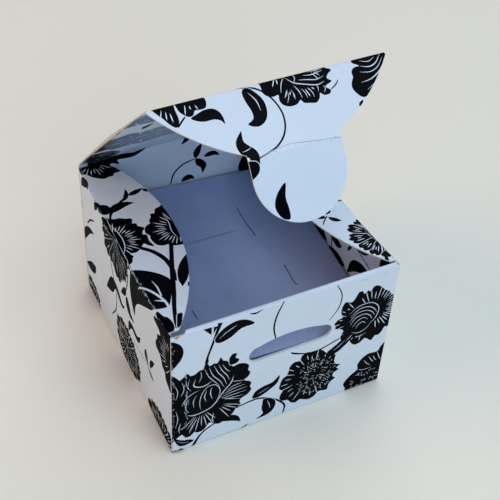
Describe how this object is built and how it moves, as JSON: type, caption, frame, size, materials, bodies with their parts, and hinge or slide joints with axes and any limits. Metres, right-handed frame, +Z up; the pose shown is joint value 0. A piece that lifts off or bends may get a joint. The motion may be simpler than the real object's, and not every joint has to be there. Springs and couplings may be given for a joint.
{
  "type": "paper jewelry box",
  "caption": "Small folded card gift box with two arched side flaps, a hinged lid whose front flap ends in a lock tongue, a slot for the tongue, and a loose card platform inside.",
  "frame": {"origin": "middle of the tray's underside, on the surface that the box stands on", "axes": "+Z up, -Y towards the front wall with the slot, +X to the right seen from the front"},
  "size_m": [0.0509, 0.0555, 0.0784],
  "materials": {
    "printed_card": "glossy coated white card with a black floral print on both sides",
    "grey_card": "matte lavender grey card"
  },
  "bodies": {
    "root": {"tray": "printed_card", "platform": "grey_card"},
    "lid": {"lid_panel": "printed_card"},
    "front_flap": {"lid_front_flap": "printed_card"},
    "tongue": {"lock_tongue": "printed_card"}
  },
  "joints": [
    {"name": "lid_hinge", "type": "hinge", "parent": "root", "child": "lid", "pos_m": [0, 0.02633, 0.03828], "axis": [-1, 0, 0], "range_deg": [-48, 132]},
    {"name": "front_flap_hinge", "type": "hinge", "parent": "lid", "child": "front_flap", "pos_m": [0, -0.00969, 0.07827], "axis": [1, 0, 0], "range_deg": [-80, 10]},
    {"name": "tongue_hinge", "type": "hinge", "parent": "front_flap", "child": "tongue", "pos_m": [0, -0.02063, 0.07144], "axis": [1, 0, 0], "range_deg": [-20, 70]}
  ]
}
